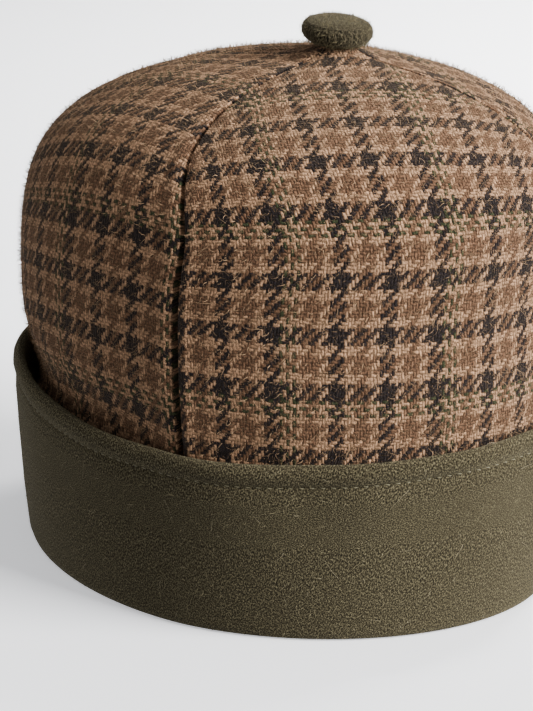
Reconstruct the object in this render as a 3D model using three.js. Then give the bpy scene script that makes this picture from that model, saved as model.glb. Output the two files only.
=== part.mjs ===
// Round four-panel tweed cap with a deep turn-up cuff and a covered button.
// Millimetres, up is +Z, the front faces -Y and the cap rests on z = 0.
import * as THREE from "three";

// Oval seen from above: a power under 2 makes it slightly pointed at the four seams
const PLAN_POWER = 1.86;

// Crown cloth, seams and rings
const CLOTH = 2.0;
const SEAM_GAP = 0.3;
const SEAM_DIP_LOW = 2.2;
const SEAM_DIP_TOP = 0.8;
const SEAM_REACH = 3.2;
const HEM = { up: 2.7, halfLength: 104.6, halfBreadth: 85.2, forward: -3.0 };
const CUFF_LINE = { up: 70, halfLength: 110, halfBreadth: 90, forward: -1.5 };
const WIDEST = { up: 120, halfLength: 111, halfBreadth: 92, forward: -3.0 };
const APEX = { up: 204.2, halfLength: 3, halfBreadth: 3, forward: 14.0 };
const PEAK = { height: 3.4, reach: 9 };
const BELLY = 0.9;
const SHOULDER_POWER = 1.34;
const DOME_POWER = 0.53;
const LEAN_POWER = 1.9;

// Side seams stand a little behind the middle and swing further back over the shoulder
const SIDE_SEAM_BACK = THREE.MathUtils.degToRad(1.6);
const SIDE_SEAM_SWING = THREE.MathUtils.degToRad(18);
const SWING_START = 0.3;
const SWING_END = 1.1;
const WALL_ROWS = 6;
const DOME_ROWS = 12;
const PANEL_COLUMNS = [0, 0.018, 0.04, 0.08, 0.15, 0.26, 0.38, 0.5, 0.62, 0.74, 0.85, 0.92, 0.96, 0.982, 1];

// Cuff: oval at the fold, oval at the rim and the height of the rim round the cap
const FOLD = { halfLength: 109.2, halfBreadth: 89.8, forward: -3.0 };
const RIM = { halfLength: 119.2, halfBreadth: 97, forward: 0 };
const CUFF_HEIGHT = 75;
const FRONT_RISE = 1.6;
const END_RISE = 3.4;
const CUFF_COLUMNS = 72;

// Cuff section: share of the height, millimetres above that, and inset from the outer face
const CUFF_SECTION = [
  { share: 0, above: 0, inset: 2.4 },
  { share: 0, above: 0.8, inset: 0.7 },
  { share: 0, above: 3.2, inset: 0 },
  { share: 0.28, above: 0, inset: -0.6 },
  { share: 0.55, above: 0, inset: -0.5 },
  { share: 1, above: -16, inset: 0.1 },
  { share: 1, above: -11, inset: 0.6 },
  { share: 1, above: -9.3, inset: 1.2 },
  { share: 1, above: -7.6, inset: 0.1 },
  { share: 1, above: -5, inset: -0.5 },
  { share: 1, above: -2.8, inset: 0 },
  { share: 1, above: -1, inset: 1.1 },
  { share: 1, above: 0, inset: 2.9 },
  { share: 1, above: -0.9, inset: 4.6 },
  { share: 1, above: -3, inset: 5.3 },
  { share: 1, above: -7, inset: 5.4 },
  { share: 1, above: -12, inset: 4.6 },
  { share: 0.5, above: 0, inset: 4.2 },
  { share: 0, above: 2.4, inset: 4.2 },
  { share: 0, above: 2.4, inset: 6.6 },
  { share: 0, above: 1.2, inset: 7.1 },
  { share: 0, above: 0, inset: 6.4 },
];

// Covered button: a thick rounded pad, flat underneath where it is sewn to the crown
const BUTTON_RADIUS = 13.5;
const BUTTON_SIDES = 28;
const BUTTON_NOD = THREE.MathUtils.degToRad(4);
const BUTTON_LIFT = 0.8;
const BUTTON_PROFILE = [
  { out: 0, up: 0 },
  { out: 0.62, up: 0 },
  { out: 0.8, up: 0.35 },
  { out: 0.92, up: 1.5 },
  { out: 0.99, up: 3.2 },
  { out: 1, up: 4.6 },
  { out: 0.97, up: 6.2 },
  { out: 0.88, up: 7.6 },
  { out: 0.66, up: 8.7 },
  { out: 0.35, up: 9.3 },
  { out: 0, up: 9.4 },
];

const QUARTER = Math.PI / 2;

function bent(value) {
  return Math.sign(value) * Math.abs(value) ** (2 / PLAN_POWER);
}

// Point on a ring: turn 0 is the front and a quarter turn is the +X side
function onRing(ring, turn) {
  const x = ring.halfBreadth * bent(Math.sin(turn));
  const y = -ring.forward - ring.halfLength * bent(Math.cos(turn));
  return new THREE.Vector3(x, y, ring.up);
}

function mix(from, to, share) {
  const ring = {};
  for (const key of Object.keys(from)) ring[key] = from[key] + (to[key] - from[key]) * share;
  return ring;
}

function inset(ring, inward, downward) {
  return {
    up: ring.up - downward,
    halfLength: ring.halfLength - inward,
    halfBreadth: ring.halfBreadth - inward,
    forward: ring.forward,
  };
}

// Rings of the crown's outer face from the hem up to the button
function crownRings() {
  const rings = [];
  for (let row = 0; row < WALL_ROWS; row += 1) {
    const share = row / WALL_ROWS;
    const low = share < 0.5;
    const ring = low ? mix(HEM, CUFF_LINE, share * 2) : mix(CUFF_LINE, WIDEST, share * 2 - 1);
    const belly = low ? 0 : Math.sin((share * 2 - 1) * Math.PI) * BELLY;
    rings.push(inset(ring, -belly, 0));
  }
  for (let row = 0; row <= DOME_ROWS; row += 1) {
    const lift = (row / DOME_ROWS) * QUARTER;
    const reach = Math.cos(lift) ** SHOULDER_POWER;
    const rise = Math.sin(lift) ** DOME_POWER;
    const peak = PEAK.height * Math.exp(-((WIDEST.halfLength * reach / PEAK.reach) ** 2));
    rings.push({
      up: WIDEST.up + (APEX.up - WIDEST.up) * rise + peak,
      halfLength: APEX.halfLength + (WIDEST.halfLength - APEX.halfLength) * reach,
      halfBreadth: APEX.halfBreadth + (WIDEST.halfBreadth - APEX.halfBreadth) * reach,
      forward: WIDEST.forward + (APEX.forward - WIDEST.forward) * rise ** LEAN_POWER,
    });
  }
  return rings;
}

// Outward direction of the crown's profile at a ring, as a share sideways and a share upward
function profileNormal(rings, row) {
  const below = rings[Math.max(row - 1, 0)];
  const above = rings[Math.min(row + 1, rings.length - 1)];
  const slope = new THREE.Vector2(above.halfLength - below.halfLength, above.up - below.up).normalize();
  return row === 0 ? new THREE.Vector2(1, 0) : new THREE.Vector2(slope.y, -slope.x);
}

// Closed shell between two grids of points with the same rows and columns
function shellGeometry(outer, inner) {
  const rows = outer.length;
  const columns = outer[0].length;
  const points = [...outer.flat(), ...inner.flat()];
  const faces = [];
  const quad = (a, b, c, d) => faces.push(a, b, c, a, c, d);
  const out = (row, column) => row * columns + column;
  const into = (row, column) => rows * columns + row * columns + column;
  for (let row = 0; row + 1 < rows; row += 1) {
    for (let column = 0; column + 1 < columns; column += 1) {
      quad(out(row, column), out(row, column + 1), out(row + 1, column + 1), out(row + 1, column));
      quad(into(row, column), into(row + 1, column), into(row + 1, column + 1), into(row, column + 1));
    }
    quad(out(row, 0), out(row + 1, 0), into(row + 1, 0), into(row, 0));
    quad(out(row + 1, columns - 1), out(row, columns - 1), into(row, columns - 1), into(row + 1, columns - 1));
  }
  for (let column = 0; column + 1 < columns; column += 1) {
    quad(out(0, column + 1), out(0, column), into(0, column), into(0, column + 1));
    quad(out(rows - 1, column), out(rows - 1, column + 1), into(rows - 1, column + 1), into(rows - 1, column));
  }
  const geometry = new THREE.BufferGeometry().setFromPoints(points);
  geometry.setIndex(faces);
  geometry.computeVertexNormals();
  return geometry;
}

// Turn of a seam at a height: 0 and 4 are the front, 1 the +X side, 2 the back and 3 the -X side
function seamTurn(seam, height) {
  const swing = THREE.MathUtils.smoothstep(height, SWING_START, SWING_END) * SIDE_SEAM_SWING;
  const back = SIDE_SEAM_BACK + swing;
  return seam * QUARTER + (seam === 1 ? back : 0) - (seam === 3 ? back : 0);
}

// One gore of the crown between two seams, sinking a little toward each seam
function panelGeometry(seam) {
  const rings = crownRings();
  const middle = (seam + 0.5) * QUARTER;
  const shiftX = Math.sign(Math.sin(middle)) * SEAM_GAP / 2;
  const shiftY = -Math.sign(Math.cos(middle)) * SEAM_GAP / 2;
  const face = (depth) => rings.map((ring, row) => {
    const normal = profileNormal(rings, row);
    const height = THREE.MathUtils.clamp((ring.up - WIDEST.up) / (APEX.up - WIDEST.up), 0, 1);
    const seamDip = SEAM_DIP_LOW + (SEAM_DIP_TOP - SEAM_DIP_LOW) * height;
    const quarterRun = (ring.halfLength + ring.halfBreadth) / 2 * QUARTER;
    const start = seamTurn(seam, height);
    const stop = seamTurn(seam + 1, height);
    return PANEL_COLUMNS.map((share) => {
      const seamAway = Math.min(share, 1 - share) * quarterRun;
      const fade = Math.min(1, quarterRun / 60);
      const sink = depth + seamDip * fade * Math.exp(-((seamAway / SEAM_REACH) ** 2));
      const point = onRing(inset(ring, sink * normal.x, sink * normal.y), start + share * (stop - start));
      return point.add(new THREE.Vector3(shiftX, shiftY, 0));
    });
  });
  return shellGeometry(face(0), face(CLOTH));
}

function cuffHeight(turn) {
  return CUFF_HEIGHT + FRONT_RISE * Math.cos(turn) + END_RISE * Math.cos(2 * turn);
}

// Closed band: the section carried once round the oval
function cuffGeometry() {
  const points = [];
  const faces = [];
  const count = CUFF_SECTION.length;
  for (let column = 0; column < CUFF_COLUMNS; column += 1) {
    const turn = (column / CUFF_COLUMNS) * 4 * QUARTER;
    const height = cuffHeight(turn);
    for (const { share, above, inset: inward } of CUFF_SECTION) {
      const up = share * height + above;
      const ring = mix({ ...FOLD, up: 0 }, { ...RIM, up: height }, up / height);
      points.push(onRing(inset({ ...ring, up }, inward, 0), turn));
    }
    const next = ((column + 1) % CUFF_COLUMNS) * count;
    for (let row = 0; row < count; row += 1) {
      const here = column * count + row;
      const over = column * count + (row + 1) % count;
      const ahead = next + row;
      const aheadOver = next + (row + 1) % count;
      faces.push(here, ahead, aheadOver, here, aheadOver, over);
    }
  }
  const geometry = new THREE.BufferGeometry().setFromPoints(points);
  geometry.setIndex(faces);
  geometry.computeVertexNormals();
  return geometry;
}

function buttonGeometry() {
  const profile = BUTTON_PROFILE.map(({ out, up }) => new THREE.Vector2(out * BUTTON_RADIUS, up));
  const geometry = new THREE.LatheGeometry(profile, BUTTON_SIDES);
  geometry.rotateX(QUARTER);
  return geometry;
}

function cloth(color, roughness) {
  return new THREE.MeshStandardMaterial({ color, roughness, metalness: 0 });
}

const PANELS = [
  { name: "crown_front_left", seam: 0 },
  { name: "crown_back_left", seam: 1 },
  { name: "crown_back_right", seam: 2 },
  { name: "crown_front_right", seam: 3 },
];

const cap = new THREE.Group();

for (const { name, seam } of PANELS) {
  const panel = new THREE.Mesh(panelGeometry(seam), cloth(0x8a6f55, 0.95));
  panel.name = name;
  cap.add(panel);
}

const cuff = new THREE.Mesh(cuffGeometry(), cloth(0x55543a, 0.95));
cuff.name = "cuff";
cap.add(cuff);

const button = new THREE.Mesh(buttonGeometry(), cloth(0x4b4831, 0.95));
button.name = "button";
button.rotation.x = BUTTON_NOD;
button.position.set(0, -APEX.forward, APEX.up + PEAK.height + BUTTON_LIFT);
cap.add(button);

export default cap;
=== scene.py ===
import math

import bpy
import numpy as np
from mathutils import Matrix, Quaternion, Vector, noise


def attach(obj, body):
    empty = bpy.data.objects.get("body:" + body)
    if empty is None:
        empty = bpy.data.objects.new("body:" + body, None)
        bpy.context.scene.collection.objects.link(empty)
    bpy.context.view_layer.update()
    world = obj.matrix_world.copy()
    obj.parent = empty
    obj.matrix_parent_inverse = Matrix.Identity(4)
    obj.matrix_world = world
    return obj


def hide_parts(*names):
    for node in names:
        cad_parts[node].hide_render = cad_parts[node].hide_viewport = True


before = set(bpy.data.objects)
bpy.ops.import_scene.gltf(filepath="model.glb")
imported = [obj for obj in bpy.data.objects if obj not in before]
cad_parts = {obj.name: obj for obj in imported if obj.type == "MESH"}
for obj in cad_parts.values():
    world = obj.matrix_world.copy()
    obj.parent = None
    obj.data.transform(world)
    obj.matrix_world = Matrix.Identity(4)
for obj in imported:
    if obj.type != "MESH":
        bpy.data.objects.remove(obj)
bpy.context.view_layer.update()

# Camera: stands off the cap's right side, turned toward the front and looking down about twenty degrees,
# with a long lens held a degree off level.
EYE = Vector((-0.8654, -0.4018, 0.4372))
AIM = Vector((-0.0038, 0.0105, 0.0793))
FILM_HEIGHT = 36
LENS = 130.6
ROLL = math.radians(1.17)
camera = bpy.data.objects.new("camera", bpy.data.cameras.new("camera"))
camera.data.sensor_fit = "VERTICAL"
camera.data.sensor_height = FILM_HEIGHT
camera.data.lens = LENS
camera.location = EYE
camera.rotation_mode = "QUATERNION"
level_view = (AIM - EYE).to_track_quat("-Z", "Y")
camera.rotation_quaternion = level_view @ Quaternion((0, 0, 1), ROLL)
bpy.context.collection.objects.link(camera)
bpy.context.scene.camera = camera

# Floor and light: a plain pale board under a broad soft window light in front of the cap, with weak fills
# from above and from the side, even light from all round and a lamp on the far side of the board.
FLOOR_HALF = 4.0
BOARD_GLOW = 0.56
EVEN_LIGHT = 0.36
LAMPS = (
    {"name": "window", "place": (0.1, -3.2, 1.7), "aim": (0, 0, 0.1),
     "size": 2.0, "spread": 180, "power": 460},
    {"name": "top_fill", "place": (-0.2, 0.4, 2.6), "aim": (0, 0, 0.1),
     "size": 2.4, "spread": 180, "power": 4},
    {"name": "left_fill", "place": (-2.3, 1.2, 0.5), "aim": (0, 0, 0.1),
     "size": 1.6, "spread": 180, "power": 16},
    {"name": "far_lamp", "place": (1.2, -0.4, 2.0), "aim": (0.9, -0.2, 0),
     "size": 0.6, "spread": 50, "power": 22},
)


def linear(hex_colour):
    parts = [int(hex_colour[start:start + 2], 16) / 255 for start in (1, 3, 5)]
    return [part / 12.92 if part <= 0.04045 else ((part + 0.055) / 1.055) ** 2.4 for part in parts] + [1]


def put(material, kind, inputs, output=0, **settings):
    node = material.node_tree.nodes.new(kind)
    for name, value in settings.items():
        setattr(node, name, value)
    for key, value in inputs.items():
        if isinstance(value, bpy.types.NodeSocket):
            material.node_tree.links.new(value, node.inputs[key])
        else:
            node.inputs[key].default_value = value
    return node.outputs[output]


def new_material(name, roughness):
    material = bpy.data.materials.new(name)
    material.use_nodes = True
    shader = material.node_tree.nodes["Principled BSDF"]
    shader.inputs["Roughness"].default_value = roughness
    return material, shader


# Painted board, rolled with matt white: no shine, and a slight glow that keeps it pale in the shade.
painted_board, board_shader = new_material("painted_board", 0.8)
board_shader.inputs["Base Color"].default_value = linear("#fbfbfd")
board_shader.inputs["Emission Color"].default_value = linear("#f7f8fc")
board_shader.inputs["Emission Strength"].default_value = BOARD_GLOW
floor_mesh = bpy.data.meshes.new("floor")
floor_corners = [(-FLOOR_HALF, -FLOOR_HALF, 0), (FLOOR_HALF, -FLOOR_HALF, 0)]
floor_corners += [(FLOOR_HALF, FLOOR_HALF, 0), (-FLOOR_HALF, FLOOR_HALF, 0)]
floor_mesh.from_pydata(floor_corners, [], [(0, 1, 2, 3)])
floor_mesh.materials.append(painted_board)
floor = bpy.data.objects.new("floor", floor_mesh)
bpy.context.collection.objects.link(floor)
# The board stays out of soft bounces, so the even light reaches the cap from below as well.
floor.visible_diffuse = False

for lamp in LAMPS:
    light = bpy.data.lights.new(lamp["name"], "AREA")
    light.size = lamp["size"]
    light.spread = math.radians(lamp["spread"])
    light.energy = lamp["power"]
    light_object = bpy.data.objects.new(lamp["name"], light)
    light_object.location = lamp["place"]
    heading = Vector(lamp["aim"]) - Vector(lamp["place"])
    light_object.rotation_euler = heading.to_track_quat("-Z", "Y").to_euler()
    bpy.context.collection.objects.link(light_object)
world = bpy.data.worlds.new("studio")
world.use_nodes = True
world.node_tree.nodes["Background"].inputs["Color"].default_value = linear("#f4f6fa")
world.node_tree.nodes["Background"].inputs["Strength"].default_value = EVEN_LIGHT
bpy.context.scene.world = world

# Crown: four gores of woollen tweed, cut flat and sewn edge to edge from the hem to the button.
# Each gore sinks into the pressed seam beside it, tucks in behind the cuff's rim and carries its own
# run of the check. Sizes are in millimetres; a ring is its height, half length, half breadth and lead.
PLAN_POWER = 1.86
CLOTH = 2.0
HEM = np.array((2.7, 104.6, 85.2, -3.0))
CUFF_LINE = np.array((70, 110, 90, -1.5))
WIDEST = np.array((120, 111, 92, -3.0))
APEX = np.array((204.2, 3, 3, 14.0))
PEAK_HEIGHT = 3.4
PEAK_REACH = 9.0
BELLY = 0.9
SHOULDER_POWER = 1.34
DOME_POWER = 0.53
LEAN_POWER = 1.9
SIDE_SEAM_BACK = math.radians(1.6)
SIDE_SEAM_SWING = math.radians(18)
SWING_SPAN = (0.3, 1.1)
WALL_ROWS = 36
DOME_ROWS = 54
DOME_CROWDING = 1.6
PANEL_COLUMNS = 120
SEAM_CROWDING = 0.8
SEAM_GAP = 0.3
SLIT_DEPTH = 5.5
SLIT_LOW = 0.95
SLIT_TOP = 0.45
SEAM_DIP = 0.6
SEAM_DIP_REACH = 5
SEAM_ROLL = 0.9
SEAM_ROLL_PLACE = 4.5
SEAM_ROLL_WIDTH = 2.4
SEAM_FADE_RUN = 60
SEAM_TOP_FADE = 0.85
TUCK_SPREAD = 16
TUCK_REACH = 30
CROWN_WAVE = 28.0
CROWN_WAVE_HEIGHT = 0.7
WARP_PITCH = 1.075
WEFT_PITCH = 1.32

# Gores: the seams on either side, the way the cloth lies, the share of the width where its grain stands
# upright, how far its rows droop from there, its tuck behind the rim and the threads its check is shifted by
PANELS = (
    {"name": "crown_front_left", "seams": (0, 1), "grain": 1,
     "line": 0.5, "droop": 0, "tuck": 1, "shift": (10.0, 30.0)},
    {"name": "crown_back_left", "seams": (1, 2), "grain": -1,
     "line": 0.156, "droop": 17, "tuck": 6, "shift": (24.0, 12.0)},
    {"name": "crown_back_right", "seams": (2, 3), "grain": -1,
     "line": 0.844, "droop": 17, "tuck": 6, "shift": (27.6, 45.7)},
    {"name": "crown_front_right", "seams": (3, 4), "grain": 1,
     "line": 0.5, "droop": 0, "tuck": 1, "shift": (43.7, 25.0)},
)

# Loose hair on the tweed, kept off the cloth beside the seams: a flat nap and a short upright fuzz
SEAM_MARGIN = 9
CROWN_HAIR = (
    {"name": "nap", "count": 5000, "length": 2.8, "width": 0.12, "stand": 0.6, "first_seed": 0},
    {"name": "fuzz", "count": 13000, "length": 2.4, "width": 0.2, "stand": 1.7, "first_seed": 5},
)


def crown_profile():
    wall = np.linspace(0, 1, WALL_ROWS, endpoint=False)[:, None]
    low = HEM + (CUFF_LINE - HEM) * wall * 2
    high = CUFF_LINE + (WIDEST - CUFF_LINE) * (wall * 2 - 1)
    high = high + np.sin((wall * 2 - 1) * math.pi) * BELLY * np.array((0, 1, 1, 0))
    lift = np.linspace(0, 1, DOME_ROWS)[:, None] ** DOME_CROWDING * math.pi / 2
    reach = np.cos(lift).clip(0) ** SHOULDER_POWER
    rise = np.sin(lift) ** DOME_POWER
    shares = np.hstack((rise, 1 - reach, 1 - reach, rise ** LEAN_POWER))
    dome = WIDEST + (APEX - WIDEST) * shares
    dome[:, 0] += PEAK_HEIGHT * np.exp(-(WIDEST[1] * reach[:, 0] / PEAK_REACH) ** 2)
    rings = np.vstack((np.where(wall < 0.5, low, high), dome))
    radius = (rings[:, 1] + rings[:, 2]) / 2
    run = np.concatenate(((0,), np.cumsum(np.hypot(np.diff(radius), np.diff(rings[:, 0])))))
    tangent = np.stack((np.gradient(radius), np.gradient(rings[:, 0])), 1)
    tangent /= np.linalg.norm(tangent, axis=1)[:, None]
    dome_angle = np.arccos((radius / radius[WALL_ROWS]).clip(0, 1))
    latitude = np.where(np.arange(len(rings)) < WALL_ROWS, 0, dome_angle)
    return rings, radius, run, tangent, latitude


def plan(half_length, half_breadth, forward, turn):
    bend = 2 / PLAN_POWER
    across = np.sign(np.sin(turn)) * np.abs(np.sin(turn)) ** bend
    along = np.sign(np.cos(turn)) * np.abs(np.cos(turn)) ** bend
    return half_breadth * across, -forward - half_length * along


def waver(points, wavelength, height):
    flat = points.reshape(-1, 3)
    values = [noise.noise(Vector(point) / wavelength) for point in flat]
    return np.array(values).reshape(points.shape[:-1]) * height


def grid_faces(index):
    return np.stack((index[:-1, :-1], index[:-1, 1:], index[1:, 1:], index[1:, :-1]), -1).reshape(-1, 4)


def shell_faces(rows, columns):
    index = np.arange(rows * columns).reshape(rows, columns)
    under = index + rows * columns
    strips = [grid_faces(index), grid_faces(under)[:, ::-1]]
    for edge, back in ((index[0], under[0]), (index[-1][::-1], under[-1][::-1])):
        strips.append(grid_faces(np.stack((back, edge))))
    for edge, back in ((index[:, 0][::-1], under[:, 0][::-1]), (index[:, -1], under[:, -1])):
        strips.append(grid_faces(np.stack((back, edge))))
    return np.concatenate(strips).tolist()


def make_piece(name, points, faces, uv, material):
    mesh = bpy.data.meshes.new(name)
    mesh.from_pydata((points * 0.001).tolist(), [], faces)
    layer = mesh.uv_layers.new(name="threads")
    loop_vertices = np.empty(len(mesh.loops), dtype=np.int32)
    mesh.loops.foreach_get("vertex_index", loop_vertices)
    layer.data.foreach_set("uv", uv[loop_vertices].astype(np.float32).ravel())
    mesh.polygons.foreach_set("use_smooth", np.ones(len(mesh.polygons), dtype=bool))
    mesh.materials.append(material)
    mesh.update()
    piece = bpy.data.objects.new(name, mesh)
    bpy.context.collection.objects.link(piece)
    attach(piece, "root")
    return piece


# Woollen tweed, a two-and-two twill of thick carded yarn: colours stand in small toothed blocks with hairy
# edges, every float is a soft round stroke flecked with lighter and darker fibre, with painted shade at its
# edges and ends and a painted highlight along its middle, and the surface is matt.
# Its pattern is drawn in threads, so the two pitches above set its real size.
YARNS = {"black": "#1a1618", "green": "#2a2f1e", "tan": "#98765a", "brown": "#5f4533"}
OVERCHECK = [("black", 5), ("green", 1), ("tan", 1), ("green", 1), ("tan", 1), ("green", 1), ("tan", 2)]
GROUND_CHECK = [("black", 5), ("tan", 3), ("brown", 5), ("tan", 3)]
SEQUENCE = OVERCHECK + [("brown", 5), ("tan", 3)] + GROUND_CHECK * 2
REPEAT = sum(width for yarn, width in SEQUENCE)
TWILL_STEP = 4.0

# Wander of the yarn as swings to the thread and reach in threads: slow, quick, and that of stray hairs
SLOW_DRIFT = (0.35, 1.1)
QUICK_DRIFT = (2.2, 0.85)
STRAY_DRIFT = (1.3, 8.0)


def drifted(material, vector, scale, reach):
    drift = put(material, "ShaderNodeTexNoise", {"Vector": vector, "Scale": scale, "Detail": 2.0}, 1)
    drift = put(material, "ShaderNodeVectorMath", {0: drift, 1: (0.5, 0.5, 0.5)}, operation="SUBTRACT")
    drift = put(material, "ShaderNodeVectorMath", {0: drift, 1: (reach, reach, 0)}, operation="MULTIPLY")
    return put(material, "ShaderNodeVectorMath", {0: vector, 1: drift}, operation="ADD")


def yarn_colour(material, number):
    turn = put(material, "ShaderNodeMath", {0: number, 1: 0.5}, operation="ADD")
    turn = put(material, "ShaderNodeMath", {0: turn, 1: float(REPEAT)}, operation="FLOORED_MODULO")
    turn = put(material, "ShaderNodeMath", {0: turn, 1: float(REPEAT)}, operation="DIVIDE")
    colour = put(material, "ShaderNodeValToRGB", {"Fac": turn})
    ramp = colour.node.color_ramp
    ramp.interpolation = "CONSTANT"
    start = 0
    for order, (yarn, width) in enumerate(SEQUENCE):
        stop = ramp.elements[0] if order == 0 else ramp.elements.new(start / REPEAT)
        stop.position = start / REPEAT
        stop.color = linear(YARNS[yarn])
        start += width
    ramp.elements.remove(ramp.elements[-1])
    return colour


def woven(material, place):
    whole = put(material, "ShaderNodeVectorMath", {0: place}, operation="FLOOR")
    part = put(material, "ShaderNodeVectorMath", {0: place}, operation="FRACTION")
    count = [put(material, "ShaderNodeSeparateXYZ", {0: whole}, axis) for axis in (0, 1)]
    share = [put(material, "ShaderNodeSeparateXYZ", {0: part}, axis) for axis in (0, 1)]
    step = put(material, "ShaderNodeMath", {0: count[0], 1: count[1]}, operation="ADD")
    step = put(material, "ShaderNodeMath", {0: step, 1: TWILL_STEP}, operation="FLOORED_MODULO")
    warp_over = put(material, "ShaderNodeMath", {0: step, 1: 1.5}, operation="LESS_THAN")
    warp, weft = [yarn_colour(material, number) for number in count]
    cloth = put(material, "ShaderNodeMix", {0: warp_over, 6: weft, 7: warp}, 2, data_type="RGBA")
    across = put(material, "ShaderNodeMix", {0: warp_over, 2: share[1], 3: share[0]}, 0)
    along = put(material, "ShaderNodeMix", {0: warp_over, 2: share[0], 3: share[1]}, 0)
    odd = put(material, "ShaderNodeMath", {0: step, 1: 2.0}, operation="FLOORED_MODULO")
    along = put(material, "ShaderNodeMath", {0: along, 1: odd}, operation="ADD")
    along = put(material, "ShaderNodeMath", {0: along, 1: 0.5}, operation="MULTIPLY")
    swell = []
    for length, power in ((across, 2.0), (along, 4.0)):
        off = put(material, "ShaderNodeMath", {0: length, 1: 2.0, 2: -1.0}, operation="MULTIPLY_ADD")
        off = put(material, "ShaderNodeMath", {0: off}, operation="ABSOLUTE")
        off = put(material, "ShaderNodeMath", {0: off, 1: power}, operation="POWER")
        swell.append(put(material, "ShaderNodeMath", {0: 1.0, 1: off}, operation="SUBTRACT"))
    return cloth, put(material, "ShaderNodeMath", {0: swell[0], 1: swell[1]}, operation="MULTIPLY")


def tweed_cloth():
    tweed, shader = new_material("woollen_tweed", 0.95)
    shader.inputs["Sheen Weight"].default_value = 0.16
    shader.inputs["Sheen Roughness"].default_value = 0.5
    shader.inputs["Sheen Tint"].default_value = linear("#d8bd9c")
    shader.inputs["Specular IOR Level"].default_value = 0.08
    threads = put(tweed, "ShaderNodeUVMap", {}, uv_map="threads")
    yarn_place = drifted(tweed, drifted(tweed, threads, *SLOW_DRIFT), *QUICK_DRIFT)
    cloth, swell = woven(tweed, yarn_place)
    strayed = woven(tweed, drifted(tweed, threads, *STRAY_DRIFT))[0]
    slant = {"Vector": threads, "Rotation": (0, 0, 0.5), "Scale": (1.7, 0.55, 1)}
    lie = put(tweed, "ShaderNodeMapping", slant)
    grain = {"Detail": 3.0, "Roughness": 0.7}
    fleck = put(tweed, "ShaderNodeTexNoise", {"Vector": lie, "Scale": 1.0, **grain})
    heather = put(tweed, "ShaderNodeTexNoise", {"Vector": threads, "Scale": 1.1, **grain})
    hairs = put(tweed, "ShaderNodeMapRange", {0: fleck, 1: 0.52, 2: 0.6, 3: 0.0, 4: 0.6})
    cloth = put(tweed, "ShaderNodeMix", {0: hairs, 6: cloth, 7: strayed}, 2, data_type="RGBA")
    fibre = put(tweed, "ShaderNodeMix", {0: 0.5, 2: fleck, 3: heather}, 0)
    shade = put(tweed, "ShaderNodeMapRange", {0: fibre, 1: 0.4, 2: 0.6, 3: 0.4, 4: 1.6})
    # Painted shade towards each float's edges and ends and a painted highlight along its middle, for the
    # light on the round yarn
    painted_float_shading = put(tweed, "ShaderNodeMapRange", {0: swell, 1: 0.0, 2: 0.8, 3: 0.45, 4: 1.22})
    shade = put(tweed, "ShaderNodeMath", {0: shade, 1: painted_float_shading}, operation="MULTIPLY")
    shaded = {0: 1.0, 6: cloth, 7: shade}
    cloth = put(tweed, "ShaderNodeMix", shaded, 2, data_type="RGBA", blend_type="MULTIPLY")
    relief = put(tweed, "ShaderNodeMath", {0: fibre, 1: 1.2, 2: swell}, operation="MULTIPLY_ADD")
    bump = put(tweed, "ShaderNodeBump", {"Height": relief, "Strength": 0.8, "Distance": 0.0005})
    tweed.node_tree.links.new(cloth, shader.inputs["Base Color"])
    tweed.node_tree.links.new(bump, shader.inputs["Normal"])
    return tweed


# Loose wool fibre: single fine hairs standing off the cloth, each of one colour between dark and pale.
# A real hair is finer than the picture can show, so each is drawn a tenth of a millimetre wide or more.
FIBRE_JOINTS = np.array((0, 0.35, 0.7, 1))[:, None]
FIBRE_SHORTEST = 0.35
FIBRE_UNEVENNESS = 1.5
FIBRE_DROOP = 0.45
FIBRE_CURL = 0.7
FIBRE_TAPER = 0.8
FIBRE_ROOT = 0.1
FIBRE_FLOOR = 0.15


def wool_fibre(name, dark, pale):
    fibre, shader = new_material(name, 0.9)
    shader.inputs["Specular IOR Level"].default_value = 0.1
    threads = put(fibre, "ShaderNodeUVMap", {}, uv_map="threads")
    tone = put(fibre, "ShaderNodeSeparateXYZ", {0: threads}, 0)
    colour = put(fibre, "ShaderNodeValToRGB", {"Fac": tone})
    for stop, shade in zip(colour.node.color_ramp.elements, (dark, pale)):
        stop.color = linear(shade)
    fibre.node_tree.links.new(colour, shader.inputs["Base Color"])
    return fibre


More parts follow.
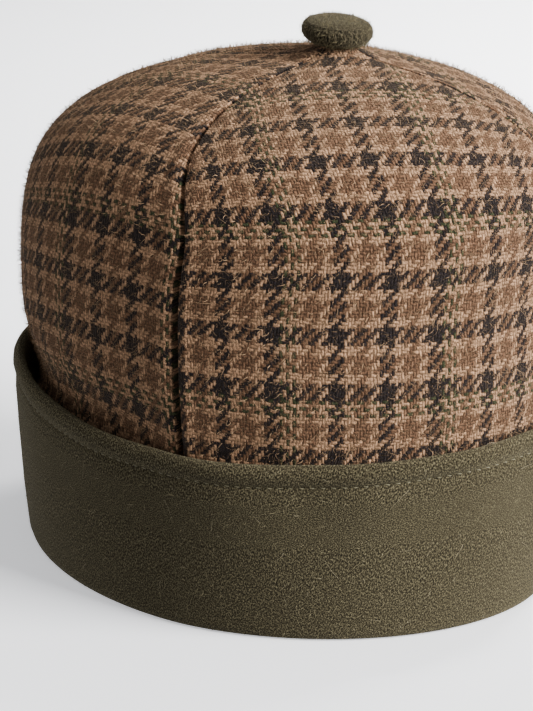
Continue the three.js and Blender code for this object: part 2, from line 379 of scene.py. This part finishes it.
def add_fibres(name, skin, hair, material, seed):
    chance = np.random.default_rng(seed)
    count = hair["count"]
    along = np.diff(skin, axis=0)[:, :-1].reshape(-1, 3)
    across = np.diff(skin, axis=1)[:-1].reshape(-1, 3)
    corner = skin[:-1, :-1].reshape(-1, 3)
    normal = np.cross(across, along)
    area = np.linalg.norm(normal, axis=1)
    cell = chance.choice(len(area), count, p=area / area.sum())
    normal = normal[cell] / area[cell, None]
    root = corner[cell] + along[cell] * chance.random((count, 1)) + across[cell] * chance.random((count, 1))
    wander = chance.normal(size=(2, count, 3))
    wander -= (wander * normal).sum(-1, keepdims=True) * normal
    wander /= np.linalg.norm(wander, axis=-1, keepdims=True)
    reach = (hair["length"] * chance.uniform(FIBRE_SHORTEST, 1, count) ** FIBRE_UNEVENNESS)[:, None, None]
    share = FIBRE_JOINTS
    path = normal[:, None] * (share - FIBRE_DROOP * share ** 2) * hair["stand"]
    path = path + wander[0][:, None] * share + wander[1][:, None] * share ** 2 * FIBRE_CURL
    spine = root[:, None] + path * reach
    spine -= normal[:, None] * FIBRE_ROOT
    spine[..., 2] = spine[..., 2].clip(FIBRE_FLOOR)
    side = np.cross(wander[0], normal)[:, None] * (hair["width"] / 2) * (1 - FIBRE_TAPER * share)
    points = np.stack((spine - side, spine + side), 2)
    index = np.arange(count * 8).reshape(count, 4, 2)
    faces = np.stack((index[:, :-1, 0], index[:, :-1, 1], index[:, 1:, 1], index[:, 1:, 0]), -1)
    tone = np.broadcast_to(chance.beta(1.6, 1.6, count)[:, None, None], index.shape)
    uv = np.stack((tone, np.broadcast_to(share, index.shape)), -1).reshape(-1, 2)
    make_piece(name, points.reshape(-1, 3), faces.reshape(-1, 4).tolist(), uv, material)


crown_tweed = tweed_cloth()
tweed_fibre = wool_fibre("tweed_fibre", "#2b2018", "#a98a6a")
rings, radius, run, tangent, latitude = crown_profile()
ring_up, ring_length, ring_breadth, ring_forward = (rings[:, side][:, None] for side in range(4))
edge_share = 0.5 - 0.5 * np.cos(np.linspace(0, math.pi, PANEL_COLUMNS))
even_share = np.linspace(0, 1, PANEL_COLUMNS)
column_share = (1 - SEAM_CROWDING) * even_share + SEAM_CROWDING * edge_share
top_share = ((rings[:, 0] - WIDEST[0]) / (APEX[0] - WIDEST[0])).clip(0, 1)
quarter_run = radius * math.pi / 2
swing = ((top_share - SWING_SPAN[0]) / (SWING_SPAN[1] - SWING_SPAN[0])).clip(0, 1)
seam_back = SIDE_SEAM_BACK + SIDE_SEAM_SWING * swing ** 2 * (3 - 2 * swing)
rim_level = np.exp(-((rings[:, 0] - CUFF_LINE[0]) / TUCK_SPREAD) ** 2)


def panel_sink(panel, turn):
    away = np.minimum(column_share, 1 - column_share)[None, :] * quarter_run[:, None]
    fade = (quarter_run / SEAM_FADE_RUN).clip(0, 1) * (1 - SEAM_TOP_FADE * top_share)
    slit = (SLIT_LOW + (SLIT_TOP - SLIT_LOW) * top_share)[:, None]
    groove = SLIT_DEPTH * np.exp(-(away / slit) ** 4)
    groove += SEAM_DIP * np.exp(-(away / SEAM_DIP_REACH) ** 2)
    groove -= SEAM_ROLL * np.exp(-((away - SEAM_ROLL_PLACE) / SEAM_ROLL_WIDTH) ** 2)
    tuck = panel["tuck"] * rim_level[:, None] * (away / TUCK_REACH).clip(0, 1)
    x, y = plan(ring_length, ring_breadth, ring_forward, turn)
    skin = np.stack((x, y, np.broadcast_to(ring_up, x.shape)), -1)
    return groove * fade[:, None] + tuck + waver(skin, CROWN_WAVE, CROWN_WAVE_HEIGHT)


def panel_face(panel, turn, inward):
    out = tangent[:, 1][:, None] * inward
    down = -tangent[:, 0][:, None] * inward
    x, y = plan(ring_length - out, ring_breadth - out, ring_forward, turn)
    middle = (panel["seams"][0] + 0.5) * math.pi / 2
    x = x + np.sign(math.sin(middle)) * SEAM_GAP / 2
    y = y - np.sign(math.cos(middle)) * SEAM_GAP / 2
    return np.stack((x, y, ring_up - down), -1)


def panel_threads(panel, lean):
    on_wall = np.arange(len(rings))[:, None] < WALL_ROWS
    high_latitude = np.arctan2(np.tan(latitude)[:, None], np.cos(lean))
    climb = np.interp(high_latitude, latitude[WALL_ROWS:], run[WALL_ROWS:])
    climb = np.where(on_wall, run[:, None], climb) + panel["droop"] * lean ** 2
    aside = radius[WALL_ROWS] * np.arcsin((np.cos(latitude)[:, None] * np.sin(lean)).clip(-1, 1))
    aside = np.where(on_wall, radius[:, None] * lean, aside)
    warp = panel["grain"] * aside / WARP_PITCH + panel["shift"][0]
    weft = -panel["grain"] * climb / WEFT_PITCH + panel["shift"][1]
    return np.stack((warp, weft), -1).reshape(-1, 2)


for panel in PANELS:
    start, stop = (seam * math.pi / 2 + seam_back * ((seam == 1) - (seam == 3)) for seam in panel["seams"])
    turn = start[:, None] + (stop - start)[:, None] * column_share
    sink = panel_sink(panel, turn)
    outer, inner = (panel_face(panel, turn, depth + sink) for depth in (0, CLOTH))
    points = np.concatenate((outer.reshape(-1, 3), inner.reshape(-1, 3)))
    threads = panel_threads(panel, turn - (start + (stop - start) * panel["line"])[:, None])
    uv = np.vstack((threads, threads))
    faces = shell_faces(*outer.shape[:2])
    piece = make_piece(panel["name"] + "_tweed", points, faces, uv, crown_tweed)
    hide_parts(panel["name"])
    open_cloth = outer[:, SEAM_MARGIN:-SEAM_MARGIN]
    for hair in CROWN_HAIR:
        seed = hair["first_seed"] + panel["seams"][1]
        add_fibres(panel["name"] + "_" + hair["name"], open_cloth, hair, tweed_fibre, seed)

# Cuff: one deep band of felted wool, doubled, turned up outside the crown and topstitched along its rim.
# The fold at the bottom runs in under the crown's hem and is what the cap stands on.
# Its ovals are half length, half breadth and lead; its section is carried once round between them.
FOLD = np.array((109.2, 89.8, -3.0))
RIM = np.array((119.2, 97, 0.0))
CUFF_HEIGHT = 75
FRONT_RISE = 1.6
END_RISE = 3.4
CUFF_COLUMNS = 540
CUFF_ROWS = 96
CUFF_WAVE = 32.0
CUFF_WAVE_HEIGHT = 1.6
CUFF_WAVE_STRETCH = 0.5
ROW_SPACING_HEIGHT = 70

# Section of the band: share of the height, millimetres above that and inset from the outer face
CUFF_SECTION = np.array((
    (0, 0, 2.4), (0, 0.8, 0.7), (0, 3.2, 0), (0.28, 0, -0.6), (0.55, 0, -0.5), (1, -16, 0), (1, -11, 0.6),
    (1, -8.8, 1.5), (1, -7.4, 0.5), (1, -5, 0.1), (1, -2.8, 0.5), (1, -1, 1.5), (1, 0, 3.1), (1, -0.9, 4.8),
    (1, -3, 5.3), (1, -7, 5.4), (1, -12, 4.6), (0.5, 0, 4.2), (0, 2.4, 4.2), (0, 2.4, 6.6), (0, 1.2, 7.1),
    (0, 0, 6.4),
))
CUFF_NAP = {"count": 23000, "length": 2.3, "width": 0.13, "stand": 0.8}
CUFF_STRAYS = {"count": 800, "length": 6.5, "width": 0.1, "stand": 0.3}

# Felted wool, milled until the weave is nearly lost and brushed: a dull olive made of short dark, green
# and straw-coloured tufts lying two ways, with a soft bloom at the edges where the nap catches light.
TUFTS_PER_MM = (2.2, 1.2)
TUFT_SLANTS = (0.35, -0.5)
TUFT_STOPS = (0.42, 0.5, 0.59)


def felted_wool(name, shades):
    wool, shader = new_material(name, 0.95)
    shader.inputs["Sheen Weight"].default_value = 0.3
    shader.inputs["Sheen Roughness"].default_value = 0.45
    shader.inputs["Sheen Tint"].default_value = linear("#b5ab8c")
    shader.inputs["Specular IOR Level"].default_value = 0.08
    place = put(wool, "ShaderNodeUVMap", {}, uv_map="threads")
    layers = []
    for slant in TUFT_SLANTS:
        turned = {"Vector": place, "Rotation": (0, 0, slant), "Scale": (*TUFTS_PER_MM, 1)}
        lie = put(wool, "ShaderNodeMapping", turned)
        tufts = {"Vector": lie, "Scale": 1.0, "Detail": 3.0, "Roughness": 0.75}
        layers.append(put(wool, "ShaderNodeTexNoise", tufts))
    strokes = put(wool, "ShaderNodeMix", {0: 0.5, 2: layers[0], 3: layers[1]}, 0)
    colour = put(wool, "ShaderNodeValToRGB", {"Fac": strokes})
    ramp = colour.node.color_ramp
    ramp.elements.new(0.5)
    for stop, position, shade in zip(ramp.elements, TUFT_STOPS, shades):
        stop.position = position
        stop.color = linear(shade)
    bump = put(wool, "ShaderNodeBump", {"Height": strokes, "Strength": 0.8, "Distance": 0.0005})
    wool.node_tree.links.new(colour, shader.inputs["Base Color"])
    wool.node_tree.links.new(bump, shader.inputs["Normal"])
    return wool


def rim_height(turn):
    return CUFF_HEIGHT + FRONT_RISE * np.cos(turn) + END_RISE * np.cos(2 * turn)


def cuff_place(turn, up, inward):
    share = up / rim_height(turn)
    ring = FOLD + (RIM - FOLD) * share[..., None]
    x, y = plan(ring[..., 0], ring[..., 1], ring[..., 2], turn)
    wave = waver(np.stack((x, y, up * CUFF_WAVE_STRETCH), -1), CUFF_WAVE, CUFF_WAVE_HEIGHT)
    inward = inward + wave * share.clip(0, 1)
    x, y = plan(ring[..., 0] - inward, ring[..., 1] - inward, ring[..., 2], turn)
    return np.stack((x, y, up), -1)


cuff_wool = felted_wool("felted_wool", ("#0c0b07", "#2e281c", "#736b51"))
olive_fibre = wool_fibre("olive_fibre", "#242214", "#918769")
pale_fibre = wool_fibre("pale_fibre", "#6f674f", "#b9ae90")
closed_section = np.vstack((CUFF_SECTION, CUFF_SECTION[:1]))
section_steps = np.diff(closed_section * (ROW_SPACING_HEIGHT, 1, 1), axis=0)
section_run = np.concatenate(((0,), np.cumsum(np.linalg.norm(section_steps, axis=1))))
section_place = np.linspace(0, section_run[-1], CUFF_ROWS, endpoint=False)
section_place = np.unique(np.concatenate((section_place, section_run[:-1])))
section = [np.interp(section_place, section_run, column)[:, None] for column in closed_section.T]
cuff_turn = np.linspace(0, 2 * math.pi, CUFF_COLUMNS, endpoint=False)
cuff_points = cuff_place(cuff_turn, section[0] * rim_height(cuff_turn) + section[1], section[2])
index = np.arange(len(section_place) * CUFF_COLUMNS).reshape(-1, CUFF_COLUMNS)
index = np.vstack((index, index[:1]))
index = np.hstack((index, index[:, :1]))
cuff_faces = grid_faces(index).tolist()
round_run = cuff_turn * (FOLD[0] + FOLD[1]) / 2
uv = np.stack(np.broadcast_arrays(round_run, section_place[:, None]), -1).reshape(-1, 2)
cuff = make_piece("cuff_wool", cuff_points.reshape(-1, 3), cuff_faces, uv, cuff_wool)
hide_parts("cuff")
cuff_skin = np.hstack((cuff_points, cuff_points[:, :1]))
add_fibres("cuff_nap", cuff_skin, CUFF_NAP, olive_fibre, seed=11)
add_fibres("cuff_stray_hairs", cuff_skin, CUFF_STRAYS, pale_fibre, seed=12)

# Topstitching: one row of olive sewing thread just under the rim, which holds the cuff's two layers together.
# It is lock-stitched by machine, each stitch lying in the crease and dipping into the cloth at both ends.
STITCH_PITCH = 3.9
STITCH_LENGTH = 2.1
STITCH_RADIUS = 0.17
STITCH_SIDES = 6
STITCH_DROP = 8.8
STITCH_SLANT = 0.2
STITCH_INSET = 1.35
STITCH_BOW = 0.35
STITCH_SINK = 0.2
STITCH_TAPER = np.array((0.5, 0.85, 1, 1, 1, 0.85, 0.5))
TURNS_MEASURED = 2000

# Scale of the wave that gives the thread a turn about every quarter of a millimetre
TWIST_SCALE = 1.4


# Sewing thread: tight polyester, a shade paler than the wool, with a slight smooth shine and a fine twist
# drawn as bands of painted shade and paler colour.
def sewing_thread():
    thread, shader = new_material("sewing_thread", 0.55)
    place = put(thread, "ShaderNodeUVMap", {}, uv_map="threads")
    # The twist is painted shade: darker bands in its grooves and paler ones on its turns
    painted_twist_shading = put(thread, "ShaderNodeTexWave", {"Vector": place, "Scale": TWIST_SCALE, "Distortion": 0.6})
    colour = put(thread, "ShaderNodeValToRGB", {"Fac": painted_twist_shading})
    for stop, shade in zip(colour.node.color_ramp.elements, ("#45412c", "#7f785a")):
        stop.color = linear(shade)
    thread.node_tree.links.new(colour, shader.inputs["Base Color"])
    return thread


even_turn = np.linspace(0, 2 * math.pi, TURNS_MEASURED)
row_line = cuff_place(even_turn, rim_height(even_turn) - STITCH_DROP, STITCH_INSET)
row_run = np.concatenate(((0,), np.cumsum(np.linalg.norm(np.diff(row_line, axis=0), axis=1))))
stitch_count = int(row_run[-1] / STITCH_PITCH)
along = np.linspace(-0.5, 0.5, len(STITCH_TAPER)) * STITCH_LENGTH
stitch_run = (np.arange(stitch_count) + 0.5)[:, None] * row_run[-1] / stitch_count + along
stitch_turn = np.interp(stitch_run, row_run, even_turn)
stitch_up = rim_height(stitch_turn) - STITCH_DROP - STITCH_SLANT * along
bow = STITCH_BOW * np.cos(along / STITCH_LENGTH * math.pi) - STITCH_SINK
spine = cuff_place(stitch_turn, stitch_up, STITCH_INSET - bow)
ahead = np.gradient(spine, axis=1)
ahead /= np.linalg.norm(ahead, axis=-1, keepdims=True)
upward = np.broadcast_to(np.array((0, 0, 1.0)), ahead.shape)
outward = np.cross(ahead, upward)
spoke = np.linspace(0, 2 * math.pi, STITCH_SIDES, endpoint=False)
ring = outward[:, :, None] * np.cos(spoke)[:, None] + upward[:, :, None] * np.sin(spoke)[:, None]
stitch_points = spine[:, :, None] + ring * STITCH_RADIUS * STITCH_TAPER[None, :, None, None]
index = np.arange(stitch_points[..., 0].size).reshape(stitch_points.shape[:3])
index = np.concatenate((index, index[:, :, :1]), 2)
stitch_faces = [face for stitch in index for face in grid_faces(stitch).tolist()]
uv = np.stack(np.broadcast_arrays(stitch_run[:, :, None], spoke), -1).reshape(-1, 2)
make_piece("cuff_topstitch", stitch_points.reshape(-1, 3), stitch_faces, uv, sewing_thread())

# Button: a thick round mould covered in felted wool drawn in darker shades than the cuff's, the cover drawn
# in underneath and the whole sewn down through the point where the gores meet, nodding a little forward.
# Its profile is a share of the radius and a height.
BUTTON_RADIUS = 13.5
BUTTON_NOD = math.radians(4)
BUTTON_LIFT = 0.8
BUTTON_PROFILE = np.array((
    (0.02, 0), (0.62, 0), (0.8, 0.35), (0.92, 1.5), (0.99, 3.2), (1, 4.6), (0.97, 6.2), (0.88, 7.6),
    (0.66, 8.7), (0.35, 9.3), (0.02, 9.4),
))
BUTTON_ROWS = 60
BUTTON_COLUMNS = 96
BUTTON_NAP = {"count": 3000, "length": 2.0, "width": 0.14, "stand": 1.3}
button_wool = felted_wool("dark_felted_wool", ("#0b0a06", "#231f16", "#554d3b"))
button_fibre = wool_fibre("dark_fibre", "#1a170e", "#7f7558")
profile_points = len(BUTTON_PROFILE)
button_row = np.linspace(0, profile_points - 1, BUTTON_ROWS)
button_out, button_up = (
    np.interp(button_row, range(profile_points), column)[:, None] for column in BUTTON_PROFILE.T
)
button_turn = np.linspace(0, 2 * math.pi, BUTTON_COLUMNS, endpoint=False)
button_x = button_out * BUTTON_RADIUS * np.cos(button_turn)
button_y = button_out * BUTTON_RADIUS * np.sin(button_turn)
button_z = button_y * math.sin(BUTTON_NOD) + button_up * math.cos(BUTTON_NOD)
button_y = button_y * math.cos(BUTTON_NOD) - button_up * math.sin(BUTTON_NOD)
button_seat = APEX[0] + PEAK_HEIGHT + BUTTON_LIFT
button_skin = np.stack((button_x, button_y - APEX[3], button_z + button_seat), -1)
index = np.arange(BUTTON_ROWS * BUTTON_COLUMNS).reshape(BUTTON_ROWS, BUTTON_COLUMNS)
index = np.hstack((index, index[:, :1]))
button_faces = grid_faces(index).tolist() + [index[0, :-1][::-1].tolist(), index[-1, :-1].tolist()]
uv = np.stack((button_x, button_y), -1).reshape(-1, 2)
button = make_piece("button_cover", button_skin.reshape(-1, 3), button_faces, uv, button_wool)
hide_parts("button")
button_closed = np.hstack((button_skin, button_skin[:, :1]))
add_fibres("button_nap", button_closed, BUTTON_NAP, button_fibre, seed=21)
